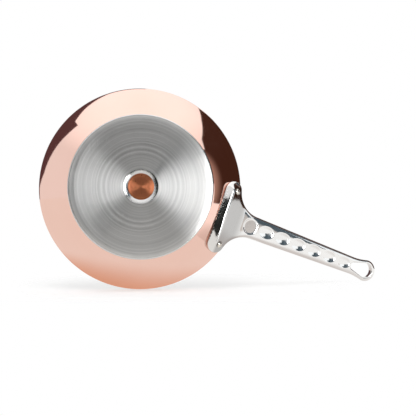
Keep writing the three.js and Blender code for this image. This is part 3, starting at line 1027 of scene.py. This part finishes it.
def lay_floors(handle):
    """The floor in the picture, the floors that metal mirrors with painted shade and painted copper bounce
    light near the pan, and a shelf under the pan's base.
    """
    floor = PhotoFloor(handle)
    white = pale_floor("photo_floor", glow_share=0.5, middle=floor.spot(0.05, 0.04), reach=0.25)
    floor.patch("photo_floor", left=-0.2, right=0.32, near=-0.12, far=0.2, material=white, seen_by="camera")
    # Painted shade and painted copper-coloured bounce light on the mirrored floor near the pan's foot,
    # fading to white further out
    painted_bounce = fading_card(
        "floor_painted_bounce", floor.spot(-0.02, 0.12),
        near=(0.83, 0.54, 0.39), far=(0.99, 0.97, 0.94), start=0.117, end=0.167,
    )
    floor.patch("left_floor", left=-1.5, right=0.15, near=-0.37, far=0.9, material=painted_bounce, seen_by="glossy")
    # Painted shade, warm-tinted, on the mirrored floor near the pan, and painted light brighter than white
    # further out
    painted_shade_floor = fading_card(
        "handle_floor_painted_shade", floor.spot(0.1, 0.12),
        near=(0.82, 0.76, 0.73), far=(1.2, 1.2, 1.19), start=0.15, end=0.25,
    )
    floor.patch("right_floor", left=0.15, right=0.75, near=-0.15, far=0.9, material=painted_shade_floor, seen_by="glossy")
    shelf = [(-SHELF, -SHELF, 0), (SHELF, -SHELF, 0), (SHELF, SHELF, 0), (-SHELF, SHELF, 0)]
    shelf_white = pale_floor("shelf_floor", glow_share=0.7, middle=(0, 0, 0), reach=SHELF)
    stage_sheet("shelf_floor", shelf, shelf_white, seen_by="camera")


def card(name, material, corners):
    """A studio card that shows only in reflections, by its corners along the picture's axes."""
    stage_sheet(name, [picture(*corner) for corner in corners], material, seen_by="glossy")


def back_card(name, material, forward, outline):
    """A card across the view, with its outline as right and down."""
    card(name, material, [(right, down, forward) for right, down in outline])


def side_card(name, material, right, outline):
    """A card beside the pan, with its outline as forward and down."""
    card(name, material, [(right, down, forward) for forward, down in outline])


def top_card(name, material, down, outline):
    """A card above the pan, with its outline as forward and right."""
    card(name, material, [(right, down, forward) for forward, right in outline])


def cards_behind_camera():
    """A dark room with a window and two lighter corners, which the flange and the grip mirror."""
    room = plain_card("room_card", (0.022, 0.023, 0.021))
    back_card("room", room, ROOM_DEPTH, [
        (-6.75, 3.9), (-5.4, 0), (-3.9, -2.25), (-0.7, -2), (1, -2), (1.3, -1.45), (2.1, -1.4),
        (2.6, -3), (4.5, -4.6), (6, -7), (9.8, -6.4), (12.5, -6.4), (12.5, 8),
    ])
    blue = fading_card(
        "blue_corner", picture(8.5, 5, BLUE_DEPTH),
        near=(1.02, 0.93, 0.87), far=(0.14, 0.18, 0.21), start=2.7, end=4.5,
    )
    back_card("blue_corner", blue, BLUE_DEPTH, [
        (2.7, -0.5), (2.7, -3), (4.5, -4.5), (7.5, -6), (9.9, -6), (9.9, 8), (4.4, 6), (4.4, -0.5),
    ])
    window = fading_card(
        "window", picture(2, -0.4, WINDOW_DEPTH),
        near=(8.7, 8.7, 8.7), far=(7, 7, 7), start=1, end=4,
    )
    back_card("window", window, WINDOW_DEPTH, [
        (2.05, -1.45), (3.6, -1.65), (3.7, 2.3), (3.4, 2.3), (2.4, 0.8), (1.85, 0.2),
    ])
    pale = fading_card(
        "pale_corner", picture(5.2, -2, PALE_DEPTH),
        near=(0.12, 0.15, 0.18), far=(0.8, 0.83, 0.85), start=0.8, end=4.2,
    )
    back_card("pale_corner", pale, PALE_DEPTH, [(3.4, -2.6), (6.6, -3.2), (6.6, 4.2), (3.4, 3.4)])


def cards_at_right():
    """A wall with a window and a dark corner before it."""
    side_light = plain_card("side_window", (1.3, 1.35, 1.38))
    side_card("side_window", side_light, SIDE_WINDOW, [
        (-1.35, 0.6), (-1.05, 0.5), (-0.95, -0.3), (-0.35, -0.35),
        (-0.22, -0.2), (-0.22, 2.4), (-1.35, 2.4),
    ])
    shade = plain_card("dark_corner", (0.09, 0.122, 0.147))
    side_card("dark_corner", shade, DARK_CORNER, [
        (-1.4, -1.95), (-0.25, -1.95), (-0.25, -0.3), (-0.9, 0.7), (-1.4, 0.7),
    ])
    wall = fading_card(
        "right_wall", picture(RIGHT_WALL, -0.5, -2.2),
        near=(0.6, 0.42, 0.35), far=(0.06, 0.025, 0.016), start=1.8, end=2.65,
    )
    side_card("right_wall", wall, RIGHT_WALL, [
        (-1.15, -1.95), (-0.08, -1.95), (0.21, -2.56), (1.77, -3.67), (4, -4.9), (4.3, 1.5), (-1.15, 1.5),
    ])


def cards_behind_pan():
    """Dark cards at the upper left, which the copper mirrors near its rim, and a bright ceiling."""
    dark = plain_card("dark_card", (0.11, 0.056, 0.06))
    side_card("left_back", dark, LEFT_WALL, [
        (1.18, -0.13), (0.92, -0.61), (0.78, -1.65), (0.68, -2.33), (0.64, -3.16),
        (4, -3.2), (4, 0.5), (1.3, 0.3),
    ])
    top_card("top_back", dark, TOP_BACK, [
        (1.08, -2.94), (1.49, -2.07), (1.8, -1.11), (1.94, -0.58), (2, 0), (4, 0), (4, -3.2), (1.1, -3.2),
    ])
    ceiling = fading_card(
        "ceiling", picture(0, CEILING, 0),
        near=(1.46, 1.46, 1.46), far=(1, 1, 1), start=2.5, end=11,
    )
    top_card("ceiling", ceiling, CEILING, [(-5, -12), (-5, 12), (5, 12), (5, -12)])


piece(copper_shell(), metal(polished_copper), "copper_shell")
piece(steel_lining(), metal(satin_lining), "steel_lining")
piece(base_plate(), metal(brushed_plate), "base_plate")
piece(base_medallion(), metal(struck_copper), "base_medallion")
seat = rivet_seat()
handle = cast_handle(seat)
piece(handle, metal(polished_casting), "handle")
rivet_finish = metal(rivet_steel)
piece(rivet(1, seat, "rivet_left"), rivet_finish, "handle_rivet_left")
piece(rivet(-1, seat, "rivet_right"), rivet_finish, "handle_rivet_right")

photo_camera()
studio_world()
lay_floors(handle)
cards_behind_camera()
cards_at_right()
cards_behind_pan()
soft_lamp("top_lamp", picture(0, -1.4, -0.7), picture(0, 0, 0), size=0.9, power=9)
soft_lamp("shelf_lamp", Vector((0.2, -0.3, 1.6)), Vector((0, 0, 0)), size=1.3, power=7)
bpy.context.scene.view_settings.view_transform = "Standard"
